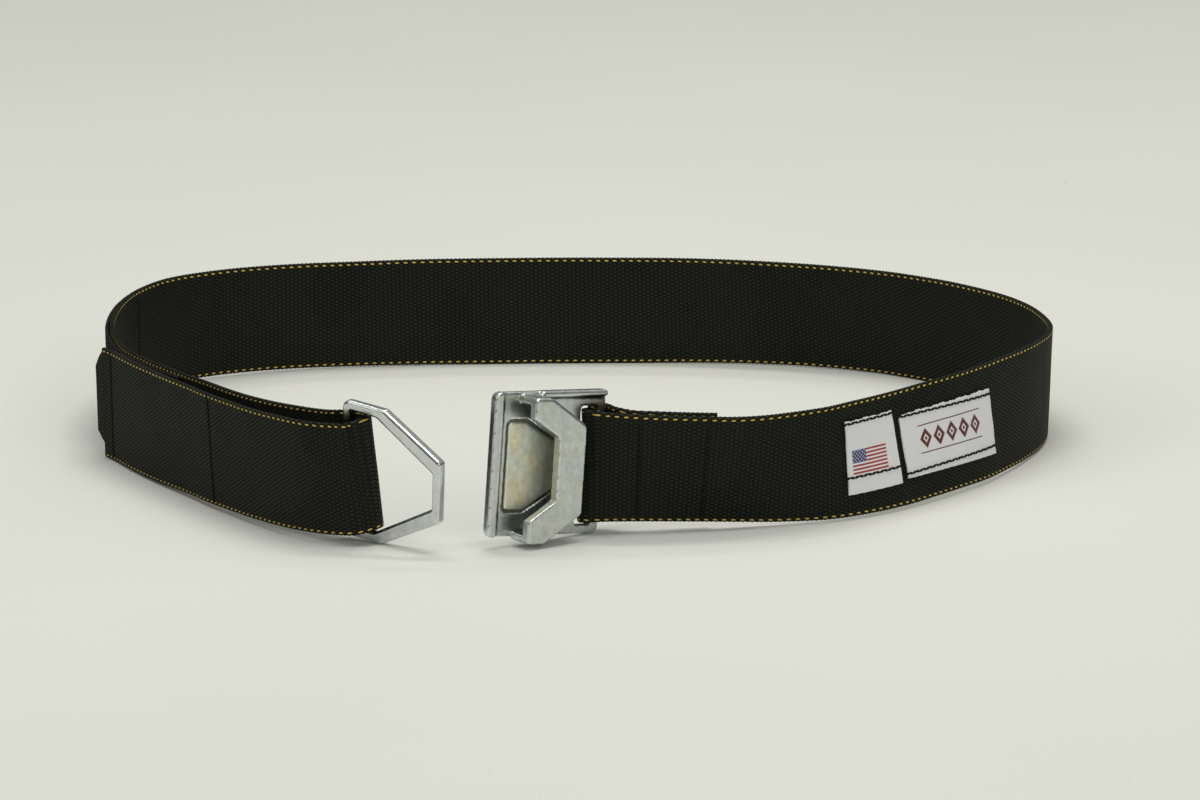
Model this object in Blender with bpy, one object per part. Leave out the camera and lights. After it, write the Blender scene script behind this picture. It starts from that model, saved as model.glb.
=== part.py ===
"""Firefighter belt: a standing loop of webbing with a ring at one end and a hook plate at the other.

The belt stands on the lower edge of its webbing. X runs along its width, Y from its front (negative) to its
back, Z up, and the origin is on the floor under the middle of its box.
"""
import math

import bmesh
import bpy
from mathutils import Matrix, Vector

MM = 0.001

# Where the origin of the tables below stands
TABLES_AT = (2.95, 8.65, 0.0)

# Webbing
WEB_W = 49.5
WEB_T = 2.2
WEB_STEP = 6.0
LAYER_GAP = 0.45

# Hook and loop tape
LOOP_T = 1.4
LOOP_W = 46.5
HOOK_TAPE_T = 1.4
HOOK_TAPE_W = 47.5
# How much the end of the hook tape narrows below and above, at its last cross-sections
TAB_CUTS = ((2.0, 0.3), (5.2, 1.5), (8.2, 3.9), (10.2, 7.8))

# Labels
LABEL_T = 0.4

# Ring, in the plane of the ring: u from the back bar to the front bar, v along the bars. OUT is its outer
# outline and IN the outline of its opening.
RING_OUT_U = (-4.6, 17.3, 47.8)
RING_OUT_V = (30.2, 13.6)
RING_IN_U = (-0.2, 13.2, 43.8)
RING_IN_V = (25.9, 7.9)
RING_OUT_R = (3.2, 3.0, 2.4)
RING_IN_R = (1.2, 3.0, 1.2)
RING_DEEP = 4.6
RING_BEND = 1.2
RING_AT = (-97.7, -181.5, 32.3)
RING_YAW = 37.0
RING_ROLL = 7.2
RING_LEAN = 5.0

# Hook plate, in its own plane: u to the right, v up, w out of its front
PLATE_U0 = -24.0
PLATE_U1 = 32.5
PLATE_V = 31.0
PLATE_T = 3.5
PLATE_R = 3.0
RIM_W = 4.4
RIM_H = 1.5
RIM_OUT = 0.2
SLOT_U0 = 20.05
SLOT_U1 = 28.4
SLOT_V0 = -27.0
SLOT_V1 = 24.1
HOOK_H = 12.5
HOOK_BAND = 4.6
HOOK_WALL = 3.4
HOOK_U0 = -11.0
HOOK_U1 = -2.5
HOOK_U2 = 15.8
HOOK_V0 = 30.0
HOOK_V1 = 17.8
HOOK_LOW = 2.6
HOLE_U = 2.0
HOLE_V0 = 21.3
HOLE_V1 = 12.8
HOLE_LOW = 1.5
LATCH_GAP = 1.1
LATCH_DROP = 0.2
LIP_T = 1.3
LIP_OUT = 2.6
LIP_GAP = 0.3
PLATE_AT = (-18.8, -190.5, 34.1)
PLATE_YAW = -33.0
PLATE_ROLL = 6.0

# The strap's path, seen from above. x and y are where the middle of the webbing stands, lift is how high its
# lower edge is, and lean is how far its upper edge stands off its lower edge.
# Columns: x, y, lift, lean x, lean y
DOUBLED_END = (
    (56.0, -175.0, 4.2, 5.0, -11.0),
    (44.0, -176.3, 4.9, 5.1, -10.8),
    (32.0, -177.4, 5.6, 5.4, -10.0),
    (24.5, -177.0, 5.6, 5.4, -8.6),
    (18.8, -174.4, 5.4, 5.0, -6.6),
    (14.4, -170.8, 5.2, 4.7, -4.0),
    (11.0, -167.8, 5.1, 4.4, -1.2),
    (7.6, -166.6, 5.0, 4.3, 1.2),
    (4.6, -167.7, 5.0, 5.2, 2.5),
    (2.4, -170.2, 5.1, 5.9, 2.8),
    (1.1, -173.4, 5.2, 6.1, 2.8),
    (1.4, -176.6, 5.3, 6.1, 2.4),
    (3.2, -179.3, 5.4, 5.8, 0.0),
    (5.8, -180.7, 5.5, 5.2, -3.0),
)
RIGHT_FRONT = (
    (10.6, -180.9, 5.4, 4.6, -6.5),
    (27.0, -180.5, 4.8, 5.5, -9.5),
    (47.0, -178.8, 3.8, 5.0, -11.0),
    (66.0, -176.0, 2.6, 5.0, -11.0),
    (85.0, -171.0, 1.5, 3.0, -7.0),
    (104.0, -163.5, 1.0, 0.0, -1.0),
    (119.5, -152.0, 1.2, -4.0, 4.0),
    (134.5, -137.5, 1.5, -6.5, 6.5),
    (149.0, -121.0, 1.8, -6.0, 6.0),
    (162.0, -104.5, 1.8, -5.0, 5.0),
    (173.0, -88.0, 1.6, -4.5, 4.5),
    (182.0, -71.0, 1.4, -3.0, 3.0),
    (191.0, -52.0, 1.0, -1.5, 1.0),
)
RIGHT_BEND = (
    (199.0, -31.0, 0.6, 0.5, 0.0),
    (204.5, -10.0, 0.3, 2.5, 0.0),
    (206.5, 11.0, 0.0, 3.0, 0.0),
    (204.5, 33.0, 0.0, 2.0, 0.0),
    (199.0, 58.0, 0.0, 1.0, 0.0),
    (190.0, 81.0, 0.0, -0.5, -0.5),
    (177.0, 103.0, 0.0, -1.0, -2.0),
    (160.0, 125.0, 0.0, -1.5, -3.5),
)
BACK = (
    (137.0, 146.5, 0.2, -2.0, -5.0),
    (109.0, 164.0, 0.3, -2.0, -5.5),
    (80.0, 175.5, 0.3, -1.0, -4.5),
    (51.0, 183.0, 0.2, 0.0, -2.0),
    (20.0, 188.0, 0.0, 0.0, 0.5),
    (-11.0, 191.3, 0.0, 0.0, 1.5),
    (-42.0, 193.2, 0.0, 0.0, 2.0),
    (-73.0, 193.6, 0.2, 0.0, 1.0),
    (-104.0, 192.0, 0.3, 0.0, -1.0),
    (-134.0, 186.5, 0.8, 0.0, -1.5),
    (-163.0, 175.5, 1.2, 0.5, -1.5),
)
LEFT_BEND = (
    (-187.0, 157.5, 1.4, 0.5, -1.0),
    (-200.5, 132.0, 1.4, 0.5, 0.0),
    (-206.8, 105.0, 1.3, 0.5, 0.0),
    (-209.3, 78.0, 1.0, 0.0, 0.0),
    (-209.3, 50.0, 0.8, 0.0, 0.0),
    (-206.0, 22.0, 0.8, 0.0, 0.0),
    (-200.0, -4.0, 0.9, 0.0, 0.0),
    (-191.0, -27.0, 1.1, 0.0, 0.0),
    (-181.0, -49.0, 1.4, 0.0, 0.0),
)
INNER_LEFT = (
    (-171.3, -68.5, 1.8, 0.0, 0.0),
    (-162.0, -86.3, 2.3, -0.5, -0.8),
    (-153.5, -103.0, 2.7, -0.8, -1.0),
    (-143.5, -120.8, 3.1, -1.0, -1.5),
    (-131.8, -138.0, 3.7, -1.5, -2.0),
    (-119.0, -154.0, 4.5, -2.0, -2.0),
    (-107.0, -166.5, 5.3, -3.0, -1.0),
    (-98.0, -173.2, 6.4, -4.0, 0.0),
)
RING_FOLD = (
    (-92.8, -175.6, 6.6, -4.5, 0.0),
    (-89.2, -179.6, 6.7, -4.6, 0.0),
    (-88.2, -184.4, 6.7, -4.6, -0.5),
    (-90.1, -189.0, 6.6, -4.5, -1.0),
    (-94.2, -192.0, 5.7, -3.5, -1.8),
)
OUTER_LEFT = (
    (-101.0, -192.8, 4.8, -2.5, -2.5),
    (-115.8, -182.0, 4.0, -2.0, -3.5),
    (-129.5, -164.2, 3.2, -1.5, -3.0),
    (-141.0, -145.8, 2.6, -1.5, -2.8),
    (-151.5, -126.2, 2.1, -1.2, -2.2),
    (-161.4, -107.4, 1.8, -1.0, -2.0),
    (-169.7, -89.2, 1.5, -0.8, -1.6),
    (-178.4, -71.4, 1.2, -0.5, -1.0),
    (-188.0, -51.4, 0.9, 0.0, 0.0),
    (-197.7, -29.2, 0.6, 0.0, 0.0),
    (-206.6, -6.2, 0.4, 0.0, 0.0),
    (-210.6, 2.0, 0.3, 0.0, 0.0),
)
TAB = (
    (-213.0, 4.4, 0.3, -1.0, 0.0),
    (-216.9, 5.6, 0.3, -3.6, 0.0),
)
STRAP = DOUBLED_END + RIGHT_FRONT + RIGHT_BEND + BACK + LEFT_BEND + INNER_LEFT + RING_FOLD + OUTER_LEFT

# Where the pieces sewn to the strap lie, as x or y on its path, and the labels' lower and upper ends on it
LOOP_TAPE_Y = (132.0, -66.0)
HOOK_TAPE_Y = -60.0
LABEL_SMALL = (111.4, 133.6, 9.6, 41.6)
LABEL_LARGE = (136.4, 176.4, 10.0, 38.8)

# Colours
WEB_BLACK = (0.012, 0.013, 0.010, 1.0)
TAPE_BLACK = (0.010, 0.010, 0.010, 1.0)
ZINC = (0.62, 0.64, 0.64, 1.0)
ZINC_YELLOW = (0.58, 0.55, 0.42, 1.0)
SATIN_WHITE = (0.80, 0.80, 0.82, 1.0)


def clear_scene():
    for obj in list(bpy.data.objects):
        bpy.data.objects.remove(obj, do_unlink=True)


def material(name, colour, roughness, metallic=0.0):
    made = bpy.data.materials.new(name)
    made.use_nodes = True
    shader = made.node_tree.nodes["Principled BSDF"]
    shader.inputs["Base Color"].default_value = colour
    shader.inputs["Roughness"].default_value = roughness
    shader.inputs["Metallic"].default_value = metallic
    made.diffuse_color = colour
    return made


def add_object(name, mesh, slot, parent):
    mesh.materials.append(slot)
    obj = bpy.data.objects.new(name, mesh)
    bpy.context.scene.collection.objects.link(obj)
    obj.parent = parent
    return obj


def mesh_from(name, build):
    bm = bmesh.new()
    build(bm)
    bmesh.ops.recalc_face_normals(bm, faces=bm.faces)
    mesh = bpy.data.meshes.new(name)
    bm.to_mesh(mesh)
    bm.free()
    return mesh


def between(rows, position):
    """A row of the table read at a whole or broken index, on a curve through all its rows."""
    last = len(rows) - 1
    k = min(int(position), last - 1)
    t = position - k
    a, b, c, d = (rows[min(max(k + i, 0), last)] for i in (-1, 0, 1, 2))
    found = []
    for p0, p1, p2, p3 in zip(a, b, c, d):
        m1, m2 = (p2 - p0) / 2, (p3 - p1) / 2
        h = (2 * t**3 - 3 * t**2 + 1) * p1 + (t**3 - 2 * t**2 + t) * m1
        found.append(h + (3 * t**2 - 2 * t**3) * p2 + (t**3 - t**2) * m2)
    return found


def path_indices(rows, step):
    """Indices along the table whose points lie about one step apart, closer where the path turns tightly."""
    fine = [i / 40 for i in range(40 * (len(rows) - 1) + 1)]
    points = [Vector(between(rows, i)[:2]) for i in fine]
    kept = [fine[0]]
    gone, turned = 0.0, 0.0
    for i in range(1, len(fine)):
        gone += (points[i] - points[i - 1]).length
        if 1 <= i < len(fine) - 1:
            turned += abs((points[i + 1] - points[i]).angle_signed(points[i] - points[i - 1], 0.0))
        if gone >= step or turned >= math.radians(16):
            kept.append(fine[i])
            gone, turned = 0.0, 0.0
    if gone > 0.5 * step or len(kept) < 3:
        kept.append(fine[-1])
    else:
        kept[-1] = fine[-1]
    return kept


def webbing_frame(rows, index):
    """Origin on the lower edge, direction, upward and sideways vectors of the webbing at an index."""
    x, y, lift, lean_x, lean_y = between(rows, index)
    last = len(rows) - 1
    before = between(rows, max(index - 0.02, 0.0))
    after = between(rows, min(index + 0.02, last))
    along = Vector((after[0] - before[0], after[1] - before[1], after[2] - before[2])).normalized()
    lean = Vector((lean_x, lean_y, 0.0))
    up = lean + Vector((0.0, 0.0, math.sqrt(WEB_W**2 - lean.length_squared)))
    up = (up - along * up.dot(along)).normalized()
    side = up.cross(along).normalized()
    foot = Vector((x, y, lift)) - Vector((lean_x, lean_y, 0.0)) / 2
    return foot, along, up, side


def strip_mesh(name, rows, indices, low, high, offset, thick, end_cuts=()):
    """A closed band that follows the webbing, from low to high on its width, off its middle by offset.

    end_cuts narrows its last cross-sections, one pair each, by that much below and above."""
    edge = min(0.35 * thick, 0.6)
    half = thick / 2

    def build(bm):
        rings = []
        for n, index in enumerate(indices):
            foot, _, up, side = webbing_frame(rows, index)
            place = n - (len(indices) - len(end_cuts))
            below, above = end_cuts[place] if place >= 0 else (0.0, 0.0)
            base, top = low + below, high - above
            outline = (
                (base, -half + edge),
                (base + edge, -half),
                (top - edge, -half),
                (top, -half + edge),
                (top, half - edge),
                (top - edge, half),
                (base + edge, half),
                (base, half - edge),
            )
            rings.append([bm.verts.new((foot + up * a + side * (offset + b)) * MM) for a, b in outline])
        for one, two in zip(rings, rings[1:]):
            for k in range(8):
                bm.faces.new((one[k], one[(k + 1) % 8], two[(k + 1) % 8], two[k]))
        bm.faces.new(rings[0])
        bm.faces.new(list(reversed(rings[-1])))

    return mesh_from(name, build)


def index_where(rows, first, last, column, value):
    """Index between two rows where a column of the table first passes a value."""
    steps = 400
    before = between(rows, first)[column] - value
    for i in range(1, steps + 1):
        index = first + (last - first) * i / steps
        now = between(rows, index)[column] - value
        if before * now <= 0:
            return index
        before = now
    return last


def rounded(points, radii, segments=3):
    """Corners of a closed outline replaced by arcs, each point with its outward normal and corner weight."""
    made = []
    count = len(points)
    for k in range(count):
        here = Vector(points[k])
        back = (Vector(points[k - 1]) - here).normalized()
        ahead = (Vector(points[(k + 1) % count]) - here).normalized()
        half = math.acos(max(-1.0, min(1.0, back.dot(ahead)))) / 2
        radius = radii[k]
        centre = here + (back + ahead).normalized() * (radius / math.sin(half))
        start = here + back * (radius / math.tan(half))
        end = here + ahead * (radius / math.tan(half))
        for i in range(segments + 1):
            t = i / segments
            a, b = (start - centre).normalized(), (end - centre).normalized()
            angle = a.angle(b)
            normal = (a * math.sin((1 - t) * angle) + b * math.sin(t * angle)) / math.sin(angle)
            made.append((centre + normal * radius, normal, k))
    return made


def plane_axes(yaw, roll, lean=0.0):
    """Unit vectors of an upright plane turned about Z, rolled clockwise and leaned forward: u, v and w."""
    a, b, c = (math.radians(angle) for angle in (yaw, roll, lean))
    u0 = Vector((math.cos(a), -math.sin(a), 0.0))
    n0 = Vector((math.sin(a), math.cos(a), 0.0))
    v0 = Vector((0.0, 0.0, math.cos(c))) - n0 * math.sin(c)
    u = u0 * math.cos(b) - v0 * math.sin(b)
    v = v0 * math.cos(b) + u0 * math.sin(b)
    return u, v, u.cross(v)


def plane_empty(name, at, yaw, roll, lean, parent):
    """An empty whose X, Y and Z axes are the plane's u, v and w."""
    u, v, w = plane_axes(yaw, roll, lean)
    obj = bpy.data.objects.new(name, None)
    bpy.context.scene.collection.objects.link(obj)
    obj.parent = parent
    obj.rotation_mode = "QUATERNION"
    obj.rotation_quaternion = Matrix([[u[i], v[i], w[i]] for i in range(3)]).to_quaternion()
    obj.location = Vector(at) * MM
    return obj


def ring_outline(us, vs, radii):
    u0, u1, u2 = us
    v0, v1 = vs
    r0, r1, r2 = radii
    corners = [(u0, -v0), (u1, -v0), (u2, -v1), (u2, v1), (u1, v0), (u0, v0)]
    return [point for point, _, _ in rounded(corners, (r0, r1, r2, r2, r1, r0), 4)]


def ring_mesh():
    outer = ring_outline(RING_OUT_U, RING_OUT_V, RING_OUT_R)
    inner = ring_outline(RING_IN_U, RING_IN_V, RING_IN_R)

    def build(bm):
        rings = []
        for out, inn in zip(outer, inner):
            span = out - inn
            middle, across = (out + inn) / 2, span.normalized()
            wide, deep = span.length / 2, RING_DEEP / 2
            section = []
            for cx, cz, first in ((1, 1, 0), (-1, 1, 90), (-1, -1, 180), (1, -1, 270)):
                for turn in (0, 45, 90):
                    angle = math.radians(first + turn)
                    a = cx * (wide - RING_BEND) + RING_BEND * math.cos(angle)
                    b = cz * (deep - RING_BEND) + RING_BEND * math.sin(angle)
                    section.append(Vector((*(middle + across * a), b)) * MM)
            rings.append([bm.verts.new(point) for point in section])
        for n, one in enumerate(rings):
            two = rings[(n + 1) % len(rings)]
            for k in range(12):
                bm.faces.new((one[k], one[(k + 1) % 12], two[(k + 1) % 12], two[k]))

    return mesh_from("hex_ring", build)


def prism(name, outline, low, high, bevel=0.0, top_only=True):
    """An outline in u and v raised from low to high, with its upper edges bevelled."""

    def build(bm):
        floor = [bm.verts.new(Vector((u, v, low)) * MM) for u, v in outline]
        face = bm.faces.new(floor)
        raised = bmesh.ops.extrude_face_region(bm, geom=[face])["geom"]
        verts = [g for g in raised if isinstance(g, bmesh.types.BMVert)]
        bmesh.ops.translate(bm, verts=verts, vec=Vector((0, 0, (high - low) * MM)))
        if bevel:
            edges = [e for e in bm.edges if all(abs(v.co.z - high * MM) < 1e-7 for v in e.verts)]
            if not top_only:
                edges += [e for e in bm.edges if all(abs(v.co.z - low * MM) < 1e-7 for v in e.verts)]
            bmesh.ops.bevel(bm, geom=edges, offset=bevel * MM, segments=2, profile=0.5, affect="EDGES")

    return mesh_from(name, build)


def outline_of(points, radii, segments=3):
    return [tuple(p) for p, _, _ in rounded(points, radii, segments)]


def mirrored(points, lower=0.0):
    """A half outline, from low u to high u at positive v, closed by its mirror image below, drawn out lower."""
    return [(u, v) for u, v in points] + [(u, -v - lower) for u, v in reversed(points)]


def helper(name, mesh, parent):
    obj = bpy.data.objects.new(name, mesh)
    bpy.context.scene.collection.objects.link(obj)
    obj.parent = parent
    obj.hide_render = True
    obj.display_type = "WIRE"
    return obj


def boolean(obj, other, operation):
    made = obj.modifiers.new(other.name, "BOOLEAN")
    made.operation = operation
    made.solver = "EXACT"
    made.object = other


def latch_outline(grow):
    """The latch's trapezoid, with its long side to the left, grown by a margin."""
    g = grow
    return [
        (-16.0 - g, -19.6 - g),
        (-7.0 + 0.4 * g, -19.6 - g),
        (8.6 + g, -10.6 - 0.6 * g),
        (8.6 + g, 8.8 + 0.6 * g),
        (-7.0 + 0.4 * g, 18.0 + g),
        (-16.0 - g, 18.0 + g),
    ]


def make_buckle(parent, slot):
    plate_points = [
        (PLATE_U0, -PLATE_V),
        (PLATE_U1, -PLATE_V),
        (PLATE_U1, PLATE_V),
        (PLATE_U0, PLATE_V),
    ]
    plate = prism("buckle_plate", outline_of(plate_points, [PLATE_R] * 4), -PLATE_T, 0.0, 0.8, False)
    obj = add_object("buckle_plate", plate, slot, parent)

    left_rim = [
        (PLATE_U0 - RIM_OUT, -PLATE_V - RIM_OUT),
        (PLATE_U0 + RIM_W, -PLATE_V - RIM_OUT),
        (PLATE_U0 + RIM_W, PLATE_V + RIM_OUT),
        (PLATE_U0 - RIM_OUT, PLATE_V + RIM_OUT),
    ]
    rim = outline_of(left_rim, (PLATE_R, 1.0, 1.0, PLATE_R))
    boolean(obj, helper("left_rim", prism("left_rim", rim, -PLATE_T + 1.0, RIM_H, 0.8), parent), "UNION")

    top_rim = [
        (HOOK_U1 + 1.0, PLATE_V - 2.8),
        (PLATE_U1 - 0.3, PLATE_V - 2.8),
        (PLATE_U1 - 0.3, PLATE_V + RIM_OUT),
        (HOOK_U1 + 1.0, PLATE_V + RIM_OUT),
    ]
    rim = outline_of(top_rim, (1.1, 1.1, 1.4, 1.1))
    boolean(obj, helper("top_rim", prism("top_rim", rim, -PLATE_T + 1.0, 2.2, 0.9), parent), "UNION")

    outer = mirrored([(HOOK_U0, HOOK_V0), (HOOK_U1, HOOK_V0), (HOOK_U2, HOOK_V1)], HOOK_LOW)
    block = prism("hook", outline_of(outer, (1.6, 3.0, 3.0, 3.0, 3.0, 1.6)), -1.0, HOOK_H, 1.0)
    hook = helper("hook", block, parent)

    pocket_points = mirrored(
        [
            (HOOK_U0 - 4.0, HOOK_V0 - HOOK_WALL),
            (HOOK_U1 - 1.0, HOOK_V0 - HOOK_WALL),
            (HOOK_U2 - HOOK_WALL, HOOK_V1 - 0.6 * HOOK_WALL),
        ],
        HOOK_LOW,
    )
    pocket = outline_of(pocket_points, (0.5, 2.0, 2.0, 2.0, 2.0, 0.5))
    cut = prism("pocket", pocket, -5.0, HOOK_H - HOOK_BAND)
    boolean(hook, helper("pocket", cut, parent), "DIFFERENCE")

    throat_points = mirrored([(HOOK_U0 - 4.0, HOLE_V0 + 2.3), (HOOK_U0, HOLE_V0), (HOLE_U, HOLE_V1)], HOLE_LOW)
    throat = outline_of(throat_points, (0.5, 0.5, 1.5, 1.5, 0.5, 0.5))
    cut = prism("throat", throat, HOOK_H - HOOK_BAND - 1.0, HOOK_H + 2.0)
    boolean(hook, helper("throat", cut, parent), "DIFFERENCE")
    boolean(obj, hook, "UNION")

    hole = outline_of(latch_outline(LATCH_GAP), (2.4, 2.4, 1.6, 1.6, 2.4, 2.4))
    cut = prism("latch_opening", hole, -PLATE_T - 2.0, 1.0)
    boolean(obj, helper("latch_opening", cut, parent), "DIFFERENCE")

    gap = [(SLOT_U0, SLOT_V0), (SLOT_U1, SLOT_V0), (SLOT_U1, SLOT_V1), (SLOT_U0, SLOT_V1)]
    cut = prism("strap_slot", outline_of(gap, [1.2] * 4, 2), -PLATE_T - 2.0, 2.0)
    boolean(obj, helper("strap_slot", cut, parent), "DIFFERENCE")
    return obj


def make_latch(parent, slot):
    """The pad in the casting's opening, held by a lip that lies behind the opening's edge."""
    pad = outline_of(latch_outline(0.0), (1.8, 1.8, 1.4, 1.4, 1.8, 1.8))
    lip_top = -PLATE_T - LIP_GAP
    obj = add_object("latch_plate", prism("latch_plate", pad, lip_top - 0.6, -LATCH_DROP, 0.6), slot, parent)
    around = outline_of(latch_outline(LIP_OUT), (3.0, 3.0, 2.0, 2.0, 3.0, 3.0))
    boolean(obj, helper("latch_lip", prism("latch_lip", around, lip_top - LIP_T, lip_top), parent), "UNION")
    return obj


clear_scene()
webbing = material("webbing", WEB_BLACK, 0.75)
tape = material("fuzzy_tape", TAPE_BLACK, 0.95)
plated = material("plated_metal", ZINC, 0.38, 1.0)
plated_pad = material("plated_latch", ZINC_YELLOW, 0.42, 1.0)
satin = material("label_satin", SATIN_WHITE, 0.45)

belt = bpy.data.objects.new("belt", None)
bpy.context.scene.collection.objects.link(belt)
belt.location = Vector(TABLES_AT) * MM

strap_indices = path_indices(STRAP, WEB_STEP)
add_object("strap", strip_mesh("strap", STRAP, strap_indices, 0.0, WEB_W, 0.0, WEB_T), webbing, belt)

front_first = len(DOUBLED_END)
bend_first = front_first + len(RIGHT_FRONT)
left_first = bend_first + len(RIGHT_BEND) + len(BACK)
outer_first = left_first + len(LEFT_BEND) + len(INNER_LEFT) + len(RING_FOLD)
path_end = len(STRAP) - 1


def sampled(first, last, count):
    return [first + (last - first) * i / (count - 1) for i in range(count)]


def layer_offset(thick):
    """Off the webbing's middle to the right of its direction: outward on the loop, inward on the layer that
    comes back."""
    return -(WEB_T / 2 + LAYER_GAP + thick / 2)


start = index_where(STRAP, left_first, left_first + 6, 1, LOOP_TAPE_Y[0])
stop = index_where(STRAP, left_first + 4, left_first + 12, 1, LOOP_TAPE_Y[1])
low = (WEB_W - LOOP_W) / 2
mesh = strip_mesh(
    "loop_tape", STRAP, sampled(start, stop, 40), low, WEB_W - low, layer_offset(LOOP_T), LOOP_T
)
add_object("loop_tape", mesh, tape, belt)

start = index_where(STRAP, outer_first, path_end, 1, HOOK_TAPE_Y)
low = (WEB_W - HOOK_TAPE_W) / 2
places = sampled(start, path_end, 12) + sampled(path_end + 0.5, path_end + len(TAB), 4)
mesh = strip_mesh(
    "hook_tape",
    STRAP + TAB,
    places,
    low,
    WEB_W - low,
    layer_offset(HOOK_TAPE_T),
    HOOK_TAPE_T,
    TAB_CUTS,
)
add_object("hook_tape", mesh, tape, belt)

for name, row in (("label_small", LABEL_SMALL), ("label_large", LABEL_LARGE)):
    start = index_where(STRAP, front_first + 3, bend_first, 0, row[0])
    stop = index_where(STRAP, front_first + 3, bend_first, 0, row[1])
    count = 6 if name == "label_small" else 11
    mesh = strip_mesh(
        name, STRAP, sampled(start, stop, count), row[2], row[3], layer_offset(LABEL_T), LABEL_T
    )
    add_object(name, mesh, satin, belt)

ring_plane = plane_empty("ring_plane", RING_AT, RING_YAW, RING_ROLL, RING_LEAN, belt)
ring = add_object("hex_ring", ring_mesh(), plated, ring_plane)

plate_plane = plane_empty("plate_plane", PLATE_AT, PLATE_YAW, PLATE_ROLL, 0.0, belt)
buckle = make_buckle(plate_plane, plated)
make_latch(plate_plane, plated_pad)

for obj in bpy.data.objects:
    if obj.type == "MESH":
        obj.data.shade_smooth()
        obj.data.set_sharp_from_angle(angle=math.radians(35))
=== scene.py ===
"""Firefighter belt: the cloth, the metal finishes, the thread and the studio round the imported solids."""

import math

import bpy
import numpy as np
from mathutils import Matrix, Vector


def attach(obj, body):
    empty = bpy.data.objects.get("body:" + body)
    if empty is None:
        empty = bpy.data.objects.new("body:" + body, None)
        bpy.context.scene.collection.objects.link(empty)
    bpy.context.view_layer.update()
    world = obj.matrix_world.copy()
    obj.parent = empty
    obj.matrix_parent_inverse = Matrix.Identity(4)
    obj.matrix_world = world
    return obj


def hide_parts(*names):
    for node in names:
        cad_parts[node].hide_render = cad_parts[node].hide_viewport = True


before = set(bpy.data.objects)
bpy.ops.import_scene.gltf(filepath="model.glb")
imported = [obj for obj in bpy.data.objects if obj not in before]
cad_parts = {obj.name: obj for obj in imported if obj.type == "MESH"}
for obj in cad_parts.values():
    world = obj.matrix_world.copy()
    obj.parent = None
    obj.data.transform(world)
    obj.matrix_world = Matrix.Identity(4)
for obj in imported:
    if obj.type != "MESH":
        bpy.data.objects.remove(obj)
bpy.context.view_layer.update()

MM = 0.001

# Camera, at the photograph's viewing angle
CAMERA_AT = (0.010827, -4.322036, 0.916115)
CAMERA_PITCH = 78.33
CAMERA_ROLL = -1.25
CAMERA_LENS = 300.0

# Webbing, in millimetres: width, thickness, gap to a sewn piece, mesh step, and the weave's two pitches
WEB_W = 49.5
WEB_T = 2.2
LAYER_GAP = 0.45
STATION = 0.484
DASH_PITCH = 3.87
YARN_W = 0.9

# Where the origin of the tables below stands
TABLES_AT = (2.95, 8.65, 0.0)

# Tapes and labels
LOOP_T = 1.4
LOOP_W = 46.5
HOOK_TAPE_T = 1.4
HOOK_TAPE_W = 47.5
LABEL_T = 0.4

# The strap's path, seen from above. x and y are where the middle of the webbing stands, lift is how high its
# lower edge is, and lean is how far its upper edge stands off its lower edge.
# Columns: x, y, lift, lean x, lean y
DOUBLED_END = (
    (56.0, -175.0, 4.2, 5.0, -11.0),
    (44.0, -176.3, 4.9, 5.1, -10.8),
    (32.0, -177.4, 5.6, 5.4, -10.0),
    (24.5, -177.0, 5.6, 5.4, -8.6),
    (18.8, -174.4, 5.4, 5.0, -6.6),
    (14.4, -170.8, 5.2, 4.7, -4.0),
    (11.0, -167.8, 5.1, 4.4, -1.2),
    (7.6, -166.6, 5.0, 4.3, 1.2),
    (4.6, -167.7, 5.0, 5.2, 2.5),
    (2.4, -170.2, 5.1, 5.9, 2.8),
    (1.1, -173.4, 5.2, 6.1, 2.8),
    (1.4, -176.6, 5.3, 6.1, 2.4),
    (3.2, -179.3, 5.4, 5.8, 0.0),
    (5.8, -180.7, 5.5, 5.2, -3.0),
)
RIGHT_FRONT = (
    (10.6, -180.9, 5.4, 4.6, -6.5),
    (27.0, -180.5, 4.8, 5.5, -9.5),
    (47.0, -178.8, 3.8, 5.0, -11.0),
    (66.0, -176.0, 2.6, 5.0, -11.0),
    (85.0, -171.0, 1.5, 3.0, -7.0),
    (104.0, -163.5, 1.0, 0.0, -1.0),
    (119.5, -152.0, 1.2, -4.0, 4.0),
    (134.5, -137.5, 1.5, -6.5, 6.5),
    (149.0, -121.0, 1.8, -6.0, 6.0),
    (162.0, -104.5, 1.8, -5.0, 5.0),
    (173.0, -88.0, 1.6, -4.5, 4.5),
    (182.0, -71.0, 1.4, -3.0, 3.0),
    (191.0, -52.0, 1.0, -1.5, 1.0),
)
RIGHT_BEND = (
    (199.0, -31.0, 0.6, 0.5, 0.0),
    (204.5, -10.0, 0.3, 2.5, 0.0),
    (206.5, 11.0, 0.0, 3.0, 0.0),
    (204.5, 33.0, 0.0, 2.0, 0.0),
    (199.0, 58.0, 0.0, 1.0, 0.0),
    (190.0, 81.0, 0.0, -0.5, -0.5),
    (177.0, 103.0, 0.0, -1.0, -2.0),
    (160.0, 125.0, 0.0, -1.5, -3.5),
)
BACK = (
    (137.0, 146.5, 0.2, -2.0, -5.0),
    (109.0, 164.0, 0.3, -2.0, -5.5),
    (80.0, 175.5, 0.3, -1.0, -4.5),
    (51.0, 183.0, 0.2, 0.0, -2.0),
    (20.0, 188.0, 0.0, 0.0, 0.5),
    (-11.0, 191.3, 0.0, 0.0, 1.5),
    (-42.0, 193.2, 0.0, 0.0, 2.0),
    (-73.0, 193.6, 0.2, 0.0, 1.0),
    (-104.0, 192.0, 0.3, 0.0, -1.0),
    (-134.0, 186.5, 0.8, 0.0, -1.5),
    (-163.0, 175.5, 1.2, 0.5, -1.5),
)
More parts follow.
